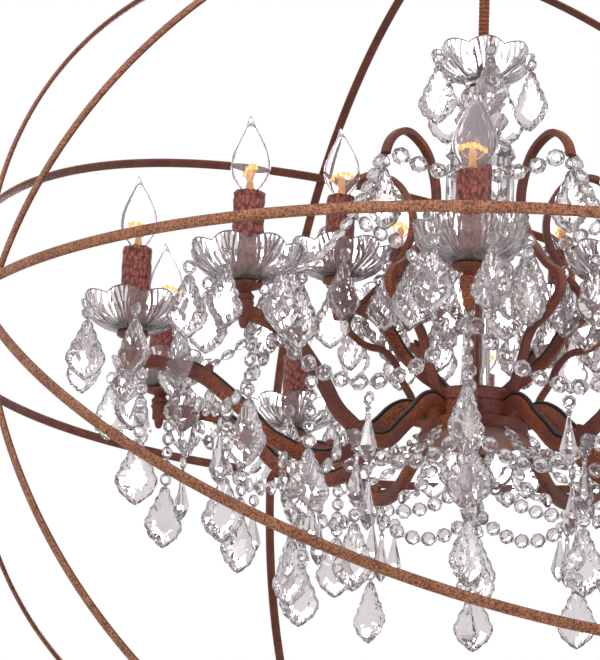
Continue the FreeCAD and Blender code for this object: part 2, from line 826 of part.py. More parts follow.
def main():
    save("crossbar", make_crossbar())
    save("canopy", make_canopy())
    save("threaded_nipple", make_nipple())
    save("collar", make_collar())
    save("canopy_loop", make_loop(loop_centre))
    first = loop_centre - loop_to_link
    for k, name in enumerate(("upper", "middle", "lower")):
        save("chain_link_" + name, make_link(first - k * link_pitch, k % 2 == 0))
    save("hub_loop", make_loop(hub_loop_centre))

    z = orb_centre
    save("hub", make_hub(), z)
    save("hub_nut", make_hub_nut(), z)
    save("hoop_level", make_level_hoop(), z)
    save("hoop_cross", make_cross_hoop(), z)
    save("hoop_outer", hoop(outer_hoop_r, outer_tilt), z)
    save("hoop_middle", hoop(middle_hoop_r, middle_tilt), z)
    save("hoop_inner", hoop(inner_hoop_r, inner_tilt), z)
    save("pivot_bolts", make_pivot_bolts(), z)
    save("pivot_nuts", make_pivot_nuts(), z)
    save("pivot_washers", make_pivot_washers(), z)
    save("cross_hoop_screws", make_cross_screws(), z)

    save("stem", make_stem(), z)
    save("drum", make_drum(), z)
    save("drum_cover", make_cover(), z)
    save("finial", make_finial(), z)
    save("finial_ball", make_finial_ball(), z)
    save("glass_lower_column", make_lower_column(), z)
    save("glass_cylinder", make_cylinder(), z)
    save("glass_vase", make_vase(), z)
    save("glass_neck", make_neck(), z)
    save("glass_top_dish", make_top_dish(), z)
    save("column_washers", make_column_washers(), z)

    outer_arm = bent_bar(outer_route, outer_arm_depth, arm_width)
    inner_arm = bent_bar(inner_route, inner_arm_depth, arm_width)
    strap = bent_bar(strap_route, strap_depth, strap_width)
    outer_wire = bent_bar(outer_route[:-1], wire_size, wire_size, (outer_arm_depth + wire_size) / 2)
    inner_wire = bent_bar(inner_route[1:-1], wire_size, wire_size, (inner_arm_depth + wire_size) / 2)
    save("arms_outer", around([outer_arm], outer_lights, first_arm_turn), z)
    save("arms_inner", around([inner_arm], inner_lights, first_arm_turn), z)
    save("straps", around([strap], straps, strap_turn), z)
    save("arm_wires_outer", around([outer_wire], outer_lights, first_arm_turn), z)
    save("arm_wires_inner", around([inner_wire], inner_lights, first_arm_turn), z)

    makers = (("cups", make_cup), ("dishes", make_dish), ("lamp_holders", make_holder),
              ("candle_sleeves", make_sleeve), ("bulb_caps", make_cap), ("bulbs", make_bulb),
              ("dish_stones", dish_stones))
    tiers = (("outer", outer_light_r, outer_cup_foot, outer_lights),
             ("inner", inner_light_r, inner_cup_foot, inner_lights))
    for tier, radius, foot, count in tiers:
        for name, maker in makers:
            made = maker(radius, foot)
            made = made if isinstance(made, list) else [made]
            save(name + "_" + tier, around(made, count, first_arm_turn), z)

    rim_slope = 0.7 * top_dish_height / (0.2 * top_dish_r)
    rim_z = top_dish_foot + top_dish_height - rim_slope * top_stone_inset
    save("top_dish_stones", around(hung(make_pendant(), top_dish_r - top_stone_inset, rim_z),
                                   top_dish_lobes), z)
    tip_stones = hung(make_pendant(), 0, strap_tip - bead_gap)
    tip_stones = [moved(turned(s, 90), x=strap_tip_r) for s in tip_stones]
    save("strap_stones", around(tip_stones, straps, strap_turn), z)
    side = Vector(0, strap_width / 2 + bead_gap, 0)
    start = Vector(strap_tip_r - strap_depth / 2, 0, strap_tip + 2) + side
    end = turned(Part.Vertex(start - side * 2), 360 / straps).Point
    save("strap_swags", around(strand(start, end, swag_sag), straps, strap_turn), z)
    low = height_under(outer_route, outer_arm_depth, under_swag_r)
    under = strand(Vector(under_swag_r, 0, low - bead_gap),
                   Vector(cover_face_r + bead_gap, 0, drum_foot - 1), under_swag_sag)
    save("under_swags", around(under, outer_lights, first_arm_turn), z)
    low = height_under(outer_route, outer_arm_depth, arm_drop_r)
    save("arm_drops", around(hung(make_drop(), arm_drop_r, low), outer_lights, first_arm_turn), z)


main()
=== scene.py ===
import json
import math
import random

import bmesh
import bpy
from mathutils import Matrix, Vector


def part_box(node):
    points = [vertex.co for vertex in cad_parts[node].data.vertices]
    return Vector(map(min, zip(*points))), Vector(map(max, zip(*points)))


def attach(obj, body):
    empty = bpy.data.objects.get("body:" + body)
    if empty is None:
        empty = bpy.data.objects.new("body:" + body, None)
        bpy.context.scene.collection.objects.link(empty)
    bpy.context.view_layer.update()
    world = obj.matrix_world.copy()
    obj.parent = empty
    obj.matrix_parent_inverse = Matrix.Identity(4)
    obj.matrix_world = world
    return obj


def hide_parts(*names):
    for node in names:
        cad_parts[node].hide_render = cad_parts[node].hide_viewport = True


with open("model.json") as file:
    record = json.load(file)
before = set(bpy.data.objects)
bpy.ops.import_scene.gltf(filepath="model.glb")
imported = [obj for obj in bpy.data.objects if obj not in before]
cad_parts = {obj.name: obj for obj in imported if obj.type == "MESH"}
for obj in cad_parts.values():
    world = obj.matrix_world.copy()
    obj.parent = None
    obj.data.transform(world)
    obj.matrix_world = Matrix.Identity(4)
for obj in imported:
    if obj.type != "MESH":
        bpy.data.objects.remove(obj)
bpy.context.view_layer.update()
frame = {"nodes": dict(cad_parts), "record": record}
nodes = frame["nodes"]
mm = 0.001


def heightOf(node):
    low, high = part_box(node)
    return (low.z + high.z) / 2


orbCentre = Vector((0, 0, heightOf("hoop_level")))
print("frame loaded, orb centre at", round(orbCentre.z, 4))


def linked(name, data):
    made = bpy.data.objects.new(name, data)
    bpy.context.scene.collection.objects.link(made)
    return made


# the camera, in degrees, and in metres from the middle of the hoops
view = {
    "distance": 2.3645, "azimuth": 26.82, "elevation": 14.98,
    "yaw": 22.99, "pitch": 15.77, "roll": 2.41, "lens": 149.5,
    "sensor": 36, "clipEnd": 50,
}


def addCamera():
    def swing(turn, lift):
        turn, lift = math.radians(turn), math.radians(lift)
        return Vector((math.sin(turn) * math.cos(lift), math.cos(turn) * math.cos(lift), math.sin(lift)))

    ahead = swing(view["yaw"], view["pitch"])
    yaw = math.radians(view["yaw"])
    level = Vector((math.cos(yaw), -math.sin(yaw), 0))
    above = level.cross(ahead)
    roll = math.radians(view["roll"])
    right = level * math.cos(roll) + above * math.sin(roll)
    up = above * math.cos(roll) - level * math.sin(roll)
    camera = linked("camera", bpy.data.cameras.new("camera"))
    camera.data.lens = view["lens"]
    camera.data.sensor_width = view["sensor"]
    camera.data.clip_end = view["clipEnd"]
    pose = Matrix((right, up, -ahead)).transposed().to_4x4()
    pose.translation = orbCentre - swing(view["azimuth"], view["elevation"]) * view["distance"]
    camera.matrix_world = pose
    bpy.context.scene.camera = camera


addCamera()


def linear(red, green, blue):
    def one(value):
        value = value / 255
        return value / 12.92 if value <= 0.04045 else ((value + 0.055) / 1.055) ** 2.4

    return (one(red), one(green), one(blue), 1)


# shader values that take part in Python expressions

class Tone:
    def __init__(self, graph, socket):
        self.graph = graph
        self.socket = socket

    def join(self, operation, first, second):
        return self.graph.node("ShaderNodeMath", {"operation": operation}, {0: first, 1: second})

    def __add__(self, other):
        return self.join("ADD", self, other)

    def __sub__(self, other):
        return self.join("SUBTRACT", self, other)

    def __rsub__(self, other):
        return self.join("SUBTRACT", other, self)

    def __mul__(self, other):
        return self.join("MULTIPLY", self, other)

    __radd__ = __add__
    __rmul__ = __mul__


class Graph:
    def __init__(self, name=None, world=None):
        self.owner = world or bpy.data.materials.new(name)
        self.owner.use_nodes = True
        self.tree = self.owner.node_tree
        if not world:
            self.shader = self.tree.nodes["Principled BSDF"]
            self.place = self.node("ShaderNodeTexCoord", out="Object")

    def node(self, kind, settings=None, sockets=None, out=0):
        made = self.tree.nodes.new(kind)
        for name, value in (settings or {}).items():
            setattr(made, name, value)
        for name, value in (sockets or {}).items():
            self.feed(made.inputs[name], value)
        return Tone(self, made.outputs[out])

    def feed(self, socket, value):
        if isinstance(value, Tone):
            self.tree.links.new(value.socket, socket)
        else:
            socket.default_value = value

    def set(self, **values):
        for name, value in values.items():
            self.feed(self.shader.inputs[name.replace("_", " ")], value)

    def noise(self, scale, detail=3, rough=0.55):
        return self.node("ShaderNodeTexNoise", None, {
            "Vector": self.place, "Scale": scale, "Detail": detail, "Roughness": rough})

    def vectors(self, operation, first, second, out=0):
        return self.node("ShaderNodeVectorMath", {"operation": operation}, {0: first, 1: second}, out)

    def spots(self, scale, stretch):
        place = self.vectors("MULTIPLY", self.place, stretch)
        return self.node("ShaderNodeTexVoronoi", None, {"Vector": place, "Scale": scale})

    def awayFrom(self, centre):
        # 1 where the surface faces straight away from a point, -1 where it faces it
        away = self.vectors("NORMALIZE", self.vectors("SUBTRACT", self.place, tuple(centre)), (0, 0, 0))
        normal = self.node("ShaderNodeTexCoord", out="Normal")
        return self.vectors("DOT_PRODUCT", away, normal, "Value")

    def ramp(self, value, low, high):
        return self.node("ShaderNodeMapRange", None, {"Value": value, "From Min": low, "From Max": high})

    def blend(self, share, first, second):
        # between two tones, or colours given as 0 to 255
        first, second = [linear(*side) if isinstance(side, tuple) else side for side in (first, second)]
        return self.node("ShaderNodeMix", {"data_type": "RGBA"}, {0: share, 6: first, 7: second}, 2)

    def bump(self, height, depth, strength):
        return self.node("ShaderNodeBump", None, {
            "Height": height, "Distance": depth, "Strength": strength})

    def whiteRays(self):
        # 1 for the rays that are to meet a white background
        rays = [self.node("ShaderNodeLightPath", out=kind)
                for kind in ("Is Camera Ray", "Is Transmission Ray", "Is Glossy Ray")]
        return self.ramp(rays[0] + rays[1] + rays[2], 0, 1)

    def show(self, output, share, first, second):
        mixed = self.node("ShaderNodeMixShader", None, {0: share, 1: first, 2: second})
        self.feed(self.tree.nodes[output].inputs["Surface"], mixed)


finishes, slots = {}, {}


def keep(graph, slot, dresses=True):
    # notes the slot that a finish fills; where dresses is set, that slot's CAD nodes get it too
    slots[graph.owner.name] = slot
    if dresses:
        finishes[slot] = graph.owner
    return graph.owner


def hoopFinish():
    # copper full of dark specks on the outside of a hoop; its inside faces are painted plain dark brown as
    # painted shade
    graph = Graph("speckledCopper")
    outward = graph.awayFrom(orbCentre)
    # 0 on the faces turned in towards the middle of the orb, which take the painted shade
    outside = graph.ramp(outward, -0.15, 0.35)
    fleck = graph.noise(620, 3, 0.7)
    fine = graph.noise(1500, 2, 0.6)
    cloud = graph.noise(70, 3)
    copper = graph.blend(graph.ramp(fine * 0.7 + cloud * 0.3, 0.38, 0.62),
                         (150, 86, 58), (214, 148, 108))
    # painted shade: the darker brown put on the inner faces of the hoops
    paintedShadeBrown = graph.blend(graph.ramp(fine * 0.5 + cloud * 0.5, 0.4, 0.6),
                        (92, 40, 28), (132, 66, 44))
    specks = graph.ramp(fleck * 0.55 + fine * 0.45, 0.49, 0.54)
    # copper outside, painted shade inside
    body = graph.blend(outside, paintedShadeBrown, copper)
    speckShare = specks * (outside * 0.5 + 0.35)
    graph.set(
        Base_Color=graph.blend(speckShare, body, (30, 17, 14)),
        Metallic=0.25,
        Roughness=graph.ramp(fine, 0.2, 0.8) * 0.25 + 0.36,
        Normal=graph.bump(fine * 0.5 - specks * 0.5, 0.0004, 0.8),
    )
    return keep(graph, "hoop_copper")


def rustFinish():
    # dark red-brown iron, with patches of orange grain
    graph = Graph("rustedIron")
    grain = graph.noise(900, 3, 0.7)
    fine = graph.noise(1700, 2, 0.6)
    patch = graph.ramp(graph.noise(26, 3), 0.42, 0.58)
    plain = graph.blend(graph.ramp(fine, 0.35, 0.65), (78, 36, 30), (134, 70, 56))
    orange = graph.blend(graph.ramp(grain, 0.42, 0.56), (60, 26, 18), (172, 88, 46))
    specks = graph.ramp(graph.noise(420, 3, 0.65), 0.6, 0.64)
    graph.set(
        Base_Color=graph.blend(specks * 0.8, graph.blend(patch, plain, orange), (26, 14, 12)),
        Metallic=0.2,
        Roughness=grain * 0.35 + 0.3,
        Normal=graph.bump(grain * 0.7 + fine * 0.3, 0.0007, 0.8),
    )
    return keep(graph, "rust_iron")


def sleeveFinish():
    # a candle cover that looks like rough wax: long raised cells whose middles are painted lighter as a painted
    # highlight, with painted shade in the sunk cracks between them
    graph = Graph("roughSleeveRust")
    cells = graph.spots(360, (1, 1, 0.6))
    wander = graph.noise(620, 3, 0.7)
    height = cells * 0.7 + wander * 0.5
    # painted highlight: the raised middles of the cells are painted lighter
    cellsWithPaintedHighlight = graph.blend(graph.ramp(height, 0.3, 0.62), (190, 104, 88), (132, 58, 48))
    graph.set(
        # painted shade: the cracks, which the bump sinks, are painted darkest
        Base_Color=graph.blend(graph.ramp(height, 0.62, 0.82), cellsWithPaintedHighlight, (66, 26, 24)),
        Metallic=0.0,
        Roughness=wander * 0.3 + 0.28,
        Normal=graph.bump(1 - height, 0.0022, 1.0),
    )
    return keep(graph, "candle_sleeve")


def glassFinish(name, slot, middle, edge, shadeFrom, shadeTo, ior, clear):
    # clear in the middle of a facet, with painted shade that darkens it where it is seen at a flat angle
    graph = Graph(name)
    haze = graph.noise(90, 2)
    flat = graph.node("ShaderNodeLayerWeight", None, {"Blend": 0.5}, "Facing")
    # painted shade: the second colour is mixed in where a facet is seen at a flat angle
    share = graph.ramp(flat, shadeFrom, shadeTo)
    graph.set(
        Base_Color=graph.blend(share, graph.blend(haze * 0.4, middle, (242, 239, 242)), edge),
        Roughness=graph.ramp(haze, 0.3, 0.7) * 0.015,
        Transmission_Weight=clear,
        IOR=ior,
    )
    return keep(graph, slot)


def glowFinish(name, first, second, strength):
    graph = Graph(name)
    heat = graph.ramp(graph.noise(260, 1), 0.35, 0.65)
    glow = graph.blend(heat, first, second)
    graph.set(Base_Color=glow, Emission_Color=glow, Emission_Strength=strength, Roughness=0.5)
    return keep(graph, "bulb_glass", False)


def plainFinish(name, slot, first, second, scale, metallic, roughness, dresses=True):
    graph = Graph(name)
    mottle = graph.noise(scale, 3)
    graph.set(
        Base_Color=graph.blend(graph.ramp(mottle, 0.35, 0.65), first, second),
        Metallic=metallic,
        Roughness=mottle * 0.2 + roughness,
        Normal=graph.bump(mottle, 0.0002, 0.5),
    )
    return keep(graph, slot, dresses)


hoopCopper = hoopFinish()
rustIron = rustFinish()
roughSleeve = sleeveFinish()
# each glass: its body colour, then the colour of its painted shade at flat angles
cutCrystal = glassFinish("cutCrystal", "cut_crystal", (224, 216, 217), (82, 66, 66),
                         0.3, 0.88, 1.5, 0.9)
bulbGlass = glassFinish("thinBulbGlass", "bulb_glass", (214, 208, 212), (104, 92, 98),
                        0.3, 0.95, 1.2, 0.8)
filamentGlow = glowFinish("glowingFilament", (240, 150, 36), (255, 206, 104), 2.4)
# painted light: the glass stem under the filament glows amber, as if lit by it, though it is no lamp
filamentLitStemGlow = glowFinish("amberLitStem", (214, 140, 48), (244, 196, 112), 0.9)
capBrass = plainFinish("brushedBrass", "cap_brass", (198, 160, 92), (160, 122, 66),
                       500, 1.0, 0.25)
plainFinish("mattBlackHolder", "holder_plastic", (40, 38, 38), (28, 27, 27),
            300, 0, 0.45)
wireBlack = plainFinish("blackWireSleeve", "wire_black", (26, 25, 26), (44, 42, 43),
                        700, 0, 0.35)
plainFinish("zincPlate", "zinc_steel", (196, 196, 192), (150, 152, 152),
            260, 1.0, 0.28)
linkSilver = plainFinish("silverLinkWire", "zinc_steel", (214, 212, 212), (150, 148, 150),
                         900, 1.0, 0.2, dresses=False)

slotOf = {entry["node"]: entry["material_slot"] for entry in frame["record"]["subparts"]}
for name, node in nodes.items():
    node.data.materials.clear()
    node.data.materials.append(finishes[slotOf[name]])
print("finishes ready:", len(bpy.data.materials))


# shapes: points and faces that are gathered, then built as one piece

class Shape:
    def __init__(self):
        self.points = []
        self.faces = []

    def add(self, other, place=None):
        first = len(self.points)
        self.points += [place @ p for p in other.points] if place else [p.copy() for p in other.points]
        self.faces += [tuple(first + k for k in face) for face in other.faces]
        return self

    def at(self, place):
        return Shape().add(self, place)


def loft(rings, closed=False, halves=False):
    # skins rings of points; a ring of one point is a tip, and closed joins the last ring to the first;
    # halves makes triangles, for rings that are turned half a step against each other
    shape = Shape()
    starts = []
    for ring in rings:
        starts.append((len(shape.points), len(ring)))
        shape.points += [Vector(p) for p in ring]
    pairs = list(zip(starts, starts[1:]))
    if closed:
        pairs.append((starts[-1], starts[0]))
    for (low, lowCount), (high, highCount) in pairs:
        for k in range(max(lowCount, highCount)):
            a, b = low + k % lowCount, low + (k + 1) % lowCount
            c, d = high + k % highCount, high + (k + 1) % highCount
            for corners in ((a, b, c), (b, d, c)) if halves else ((a, b, d, c),):
                face = tuple(dict.fromkeys(corners))
                if len(face) > 2:
                    shape.faces.append(face)
    if not closed:
        for (start, count), way in ((starts[0], -1), (starts[-1], 1)):
            if count > 2:
                shape.faces.append(tuple(range(start, start + count))[::way])
    return shape


def polar(radius, degrees, z):
    angle = math.radians(degrees)
    return Vector((radius * math.cos(angle), radius * math.sin(angle), z))


def ringAt(radius, z, sides, dent=0.0):
    # points round the stem; every second one is nearer to it by dent
    return [polar(radius - dent * (k % 2), 360 * k / sides, z) for k in range(sides)]


def turning(profile, sides, closed=False):
    return loft([ringAt(radius, z, sides) if radius else [Vector((0, 0, z))] for radius, z in profile], closed)


def inMm(pairs, radius=0, z=0):
    # profile points given in millimetres, counted from a radius and a height
    return [(radius + r * mm, z + h * mm) for r, h in pairs]


def circle(centre, first, second, radius, sides):
    # points round a wire, in the plane of two directions
    turns = [2 * math.pi * k / sides for k in range(sides)]
    return [centre + first * (radius * math.cos(a)) + second * (radius * math.sin(a)) for a in turns]


def moved(x=0.0, y=0.0, z=0.0):
    return Matrix.Translation((x, y, z))


def spun(degrees, axis="Z"):
    return Matrix.Rotation(math.radians(degrees), 4, axis)


def around(one, count, first):
    # copies turned round the stem, of a Shape or of Crystals
    whole = type(one)()
    for k in range(count):
        whole.add(one, spun(first + 360 * k / count))
    return whole


def build(name, shape, material, replaced=(), smooth=35.0, body="chandelier",
          place=Matrix.Translation(orbCentre)):
    # smooth is the angle in degrees under which an edge is shaded round; 0 leaves flat facets
    mesh = bpy.data.meshes.new(name)
    mesh.from_pydata([place @ p for p in shape.points], [], shape.faces)
    work = bmesh.new()
    work.from_mesh(mesh)
    bmesh.ops.recalc_face_normals(work, faces=work.faces)
    work.to_mesh(mesh)
    work.free()
    mesh.polygons.foreach_set("use_smooth", [smooth > 0] * len(mesh.polygons))
    if smooth > 0:
        mesh.set_sharp_from_angle(angle=math.radians(smooth))
    mesh.materials.append(material)
    piece = linked(name, mesh)
    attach(piece, body)
    if replaced:
        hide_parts(*replaced)


def roundedSection(width, depth, corner):
    # corner points of a bar's section, as (across, along the depth)
    points, steps = [], 3
    for quarter, (sx, sy) in enumerate(((1, 1), (-1, 1), (-1, -1), (1, -1))):
        for k in range(steps):
            angle = math.radians(90 * (quarter + k / (steps - 1)))
            points.append((sx * (width / 2 - corner) + corner * math.cos(angle),
                           sy * (depth / 2 - corner) + corner * math.sin(angle)))
    return points


# the five hoops
hoops = {
    "thick": 4 * mm, "width": 8.5 * mm, "step": 4.8 * mm, "stations": 288, "crown": 0.62, "sectionPoints": 20,
    "outerTilt": 39.0, "middleTilt": 75.5, "innerTilt": -50.0,
}


def crownedSection():
    # a flat bar whose faces swell a little towards their middle, as (across, along the width)
    def power(value, exponent):
        return math.copysign(abs(value) ** exponent, value)

    points = []
    for k in range(hoops["sectionPoints"]):
        angle = 2 * math.pi * k / hoops["sectionPoints"]
        points.append((hoops["thick"] / 2 * power(math.cos(angle), hoops["crown"]),
                       hoops["width"] / 2 * power(math.sin(angle), hoops["crown"])))
    return points


def hoopShape(radius):
    section, count = crownedSection(), hoops["stations"]
    middle = radius - hoops["thick"] / 2
    return loft([[polar(middle + across, 360 * k / count, up) for across, up in section]
                 for k in range(count)], closed=True)


def addHoops():
    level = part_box("hoop_level")[1].x
    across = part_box("hoop_cross")[1].z - orbCentre.z
    radii = [across - hoops["step"] * k for k in (1, 2, 3)]
    build("hoopLevel", hoopShape(level), hoopCopper, ["hoop_level"])
    build("hoopCross", hoopShape(across).at(spun(90, "Y")), hoopCopper, ["hoop_cross"])
    for name, radius in zip(("outer", "middle", "inner"), radii):
        build("hoop" + name.capitalize(), hoopShape(radius).at(spun(hoops[name + "Tilt"], "X")), hoopCopper,
              ["hoop_" + name], body=name + "_hoop")
    print("hoops built")


addHoops()


# bent flat bars: tangent arcs through a few points of each arm, in millimetres

def unit(vector):
    return vector.normalized()


def headingAt(degrees):
    return Vector((math.cos(math.radians(degrees)), 0, math.sin(math.radians(degrees))))


def smoothRoute(points, first, last, step):
    # points along tangent arcs, two between each pair, each with its normal; all in the XZ plane
    spots = [Vector((r * mm, 0, z * mm)) for r, z in points]
    headings = [headingAt(first)] + [unit(after - before) for before, after in zip(spots, spots[2:])]
    headings.append(headingAt(last))
    route = []

    def addArc(start, heading, end):
        normal = Vector((-heading.z, 0, heading.x))
        chord = end - start
        across = chord.dot(normal)
        if abs(across) < 1e-5 * chord.length:
            route.append((start, normal))
            return
        radius = chord.dot(chord) / (2 * across)
        centre = start + normal * radius
        endNormal = (centre - end) / radius
        turn = normal.angle(endNormal)
        count = max(1, round(math.degrees(turn) / step))
        for k in range(count):
            share = k / count
            swing = normal * math.sin(turn * (1 - share)) + endNormal * math.sin(turn * share)
            swing /= math.sin(turn)
            route.append((centre - swing * radius, swing))

    for k in range(len(spots) - 1):
        start, end = spots[k], spots[k + 1]
        leave, arrive = headings[k], headings[k + 1]
        gap = end - start
        both = leave + arrive
        bend = 2 * (1 - leave.dot(arrive))
        along = gap.dot(both)
        if bend < 1e-9:
            reach = gap.dot(gap) / (2 * along)
        else:
            reach = (math.sqrt(along * along + bend * gap.dot(gap)) - along) / bend
        joint = (start + leave * reach + end - arrive * reach) * 0.5
        middleHeading = unit(end - arrive * reach - start - leave * reach)
        addArc(start, leave, joint)
        addArc(joint, middleHeading, end)
    route.append((spots[-1], Vector((-headings[-1].z, 0, headings[-1].x))))
    return route


def bar(route, depth, width):
    section = roundedSection(width, depth, arms["corner"])
    return loft([[spot + normal * up + Vector((0, across, 0)) for across, up in section]
                 for spot, normal in route])


arms = {
    "outerCount": 10, "innerCount": 5, "strapCount": 5, "firstTurn": 26.0,
    "width": 7.6 * mm, "outerDepth": 11.6 * mm, "innerDepth": 9 * mm, "strapDepth": 6 * mm,
    "strapWidth": 8 * mm, "corner": 1.6 * mm, "wire": 3.2 * mm, "bend": 5.0,
    "outerWireEnd": 258 * mm, "innerWireFirst": 41 * mm, "innerWireEnd": 102 * mm,
    "outerRoute": [(45.5, -40), (64, -38), (88, -59), (128, -87), (175, -76), (208, -48), (248, -23),
                   (305, -18)],
    "innerRoute": [(34, -19.95), (50, -4), (66, 10), (80, 30), (98, 44), (130, 49)],
    "strapRoute": [(45.5, -29), (64, -8), (80, 22), (108, 36), (121, 56), (98, 78), (74, 106), (62, 134),
                   (66, 162), (83.2, 184), (111.2, 188), (132.2, 162)],
}
outerRoute = smoothRoute(arms["outerRoute"], 14, 0, arms["bend"])
innerRoute = smoothRoute(arms["innerRoute"], 90, 0, arms["bend"])
strapRoute = smoothRoute(arms["strapRoute"], 0, -80, arms["bend"])
strapTurn = arms["firstTurn"] + 180 / arms["strapCount"]


def wireAlong(route, depth):
    radius = arms["wire"] / 2
    return loft([circle(spot + normal * (depth / 2 + radius), normal, Vector((0, 1, 0)), radius, 8)
                 for spot, normal in route])


def addArms():
    outer = bar(outerRoute, arms["outerDepth"], arms["width"])
    inner = bar(innerRoute, arms["innerDepth"], arms["width"])
    strap = bar(strapRoute, arms["strapDepth"], arms["strapWidth"])

    def reach(route, radius):
        return next(k for k, (spot, normal) in enumerate(route) if spot.x > radius)

    outerWire = wireAlong(outerRoute[:reach(outerRoute, arms["outerWireEnd"])], arms["outerDepth"])
    innerWire = wireAlong(innerRoute[reach(innerRoute, arms["innerWireFirst"]):
                                     reach(innerRoute, arms["innerWireEnd"])], arms["innerDepth"])
    turn = arms["firstTurn"]
    for name, shape, count, first, material, node in (
            ("armsOuter", outer, "outerCount", turn, rustIron, "arms_outer"),
            ("armsInner", inner, "innerCount", turn, rustIron, "arms_inner"),
            ("straps", strap, "strapCount", strapTurn, rustIron, "straps"),
            ("wiresOuter", outerWire, "outerCount", turn, wireBlack, "arm_wires_outer"),
            ("wiresInner", innerWire, "innerCount", turn, wireBlack, "arm_wires_inner")):
        build(name, around(shape, arms[count], first), material, [node])
    print("arms, straps and wires built")


addArms()


# stem, hub, drum, finial and ceiling fitting
trunk = {
    "stemRadius": 4.75 * mm, "drumRadius": 46 * mm, "drumTop": -20 * mm, "drumFoot": -57 * mm,
    "coverRadius": 48.5 * mm, "coverFoot": -61 * mm, "finialHeight": 14 * mm, "ballRadius": 19 * mm,
}


def addTrunk():
    radius, top, foot = trunk["drumRadius"], trunk["drumTop"], trunk["drumFoot"]
    stem = trunk["stemRadius"] + 0.2 * mm
    inner = radius - 2 * mm
    side = ((-7, 0), (-4, -1), (-3, -3), (-0.6, -4.4), (0, -6), (0, -12), (-1.4, -13.4), (-1.4, -25),
            (0, -26.4))
    build("drumBody", turning(
        [(stem, top)] + inMm(side, radius, top)
        + [(radius, foot + 1 * mm), (radius - 0.6 * mm, foot), (inner, foot), (inner, top - 7 * mm),
           (stem, top - 7 * mm)], 72, closed=True), rustIron, ["drum"])
    cover, coverFoot = trunk["coverRadius"], trunk["coverFoot"]
    build("drumCoverPlate", turning(
        [(stem, coverFoot)] + inMm(((-9, 0), (-3, 0.9), (-0.5, 2), (0, 3)), cover, coverFoot)
        + [(cover - 0.6 * mm, foot), (stem, foot)], 72, closed=True), rustIron, ["drum_cover"])
    ballTop = coverFoot - trunk["finialHeight"] - 0.05 * mm
    knob = ((9.6, 0), (10.8, -1.6), (10.6, -3.4), (7.4, -5.4), (5.6, -7.6), (6.2, -9.6), (4.6, -12))
    build("finialTurning", turning(
        [(0, coverFoot - 10.5 * mm), (stem, coverFoot - 10 * mm), (stem, coverFoot)] + inMm(knob, 0, coverFoot)
        + [(3.4 * mm, ballTop), (0, ballTop)], 40), rustIron, ["finial"])
    ball = trunk["ballRadius"]
    centre = ballTop - ball
    rings = [[Vector((0, 0, centre - ball))]]
    for step in range(1, 8):
        angle = math.radians(180 * step / 8)
        rings.append([polar(ball * math.sin(angle), 36 * k + 18 * (step % 2), centre - ball * math.cos(angle))
                      for k in range(10)])
    rings[-1] = ringAt(3.4 * mm, ballTop, 10)
    build("finialBallCut", loft(rings, halves=True), cutCrystal, ["finial_ball"], 0)
    stemLow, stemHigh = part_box("stem")
    base = orbCentre.z
    height = stemLow.z - base
    rod = [(0, height)]
    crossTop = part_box("hoop_cross")[1].z - base
    shoulder = crossTop - hoops["thick"] - 0.05 * mm
    collar = crossTop + 0.05 * mm
    full, waist = trunk["stemRadius"], trunk["stemRadius"] - 0.7 * mm
    while height < shoulder:  # turned rings, one every 4 mm
        rod += [(r, min(height + rise, shoulder))
                for r, rise in ((full, 0), (full, 2.2 * mm), (waist, 2.8 * mm), (waist, 3.4 * mm))]
        height += 4 * mm
    rod += [(2.95 * mm, shoulder), (2.95 * mm, collar), (full, collar), (full, stemHigh.z - base),
            (0, stemHigh.z - base)]
    build("stemRod", turning(rod, 20), rustIron, ["stem"])


addTrunk()


def nodeTurning(name, node, profile, body, sides=48, closed=False):
    # a turned piece whose profile is given in shares of its CAD node's radius and height
    low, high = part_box(node)
    radius = (high.x - low.x) / 2
    points = [(r * radius, low.z + share * (high.z - low.z)) for r, share in profile]
    build(name, turning(points, sides, closed), rustIron, [node], body=body, place=Matrix.Identity(4))


links = {"wire": 2.55 * mm, "loop": (18 * mm, 18 * mm), "link": (33 * mm, 14 * mm), "stations": 64}


def chainBar(node, name, body, inside, across):
    innerLength, innerWidth = inside
    wire = links["wire"]
    endRadius = innerWidth / 2 + wire
    straight = innerLength - innerWidth
    rings = []
    for k in range(links["stations"]):
        angle = 2 * math.pi * (k + 0.5) / links["stations"]
        outward = Vector((math.cos(angle), 0, math.sin(angle)))
        spot = outward * endRadius + Vector((0, 0, math.copysign(straight / 2, outward.z)))
        rings.append(circle(spot, outward, Vector((0, 1, 0)), wire, 12))
    place = moved(z=heightOf(node)) @ spun(90 if across else 0)
    build(name, loft(rings, closed=True), rustIron, [node], body=body, place=place)


